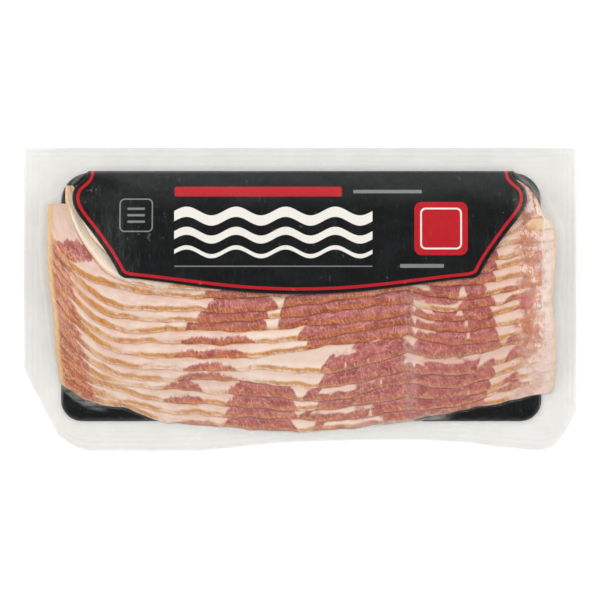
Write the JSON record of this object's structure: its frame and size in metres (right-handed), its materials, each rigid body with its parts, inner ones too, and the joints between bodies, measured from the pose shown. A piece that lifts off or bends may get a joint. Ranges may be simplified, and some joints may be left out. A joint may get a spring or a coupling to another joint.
{
  "type": "bacon pack",
  "caption": "Sliced bacon shingled on a folded card with a shaped front label flap, vacuum sealed in a flat clear film pouch.",
  "frame": {"origin": "middle of the underside of the pouch's bounding box, which is the face it lies on", "axes": "+X along the slices, +Y towards the card's fold, +Z out of the front of the pack"},
  "size_m": [0.292, 0.16, 0.0184],
  "materials": {
    "clear_film": "clear vacuum film, slightly milky, with seal lines and soft wrinkles",
    "printed_card": "coated card printed near black with a red inset line and plain shapes",
    "raw_bacon": "raw smoked pork belly, pink lean and pale fat with browned edges, moist"
  },
  "bodies": {
    "root": {"film_pouch": "clear_film", "label_card": "printed_card", "bacon_slice_01": "raw_bacon", "bacon_slice_02": "raw_bacon", "bacon_slice_03": "raw_bacon", "bacon_slice_04": "raw_bacon", "bacon_slice_05": "raw_bacon", "bacon_slice_06": "raw_bacon", "bacon_slice_07": "raw_bacon", "bacon_slice_08": "raw_bacon", "bacon_slice_09": "raw_bacon", "bacon_slice_10": "raw_bacon", "bacon_slice_11": "raw_bacon", "bacon_slice_12": "raw_bacon", "bacon_slice_13": "raw_bacon", "bacon_slice_14": "raw_bacon", "bacon_slice_15": "raw_bacon", "bacon_slice_16": "raw_bacon", "bacon_slice_17": "raw_bacon"}
  },
  "joints": []
}
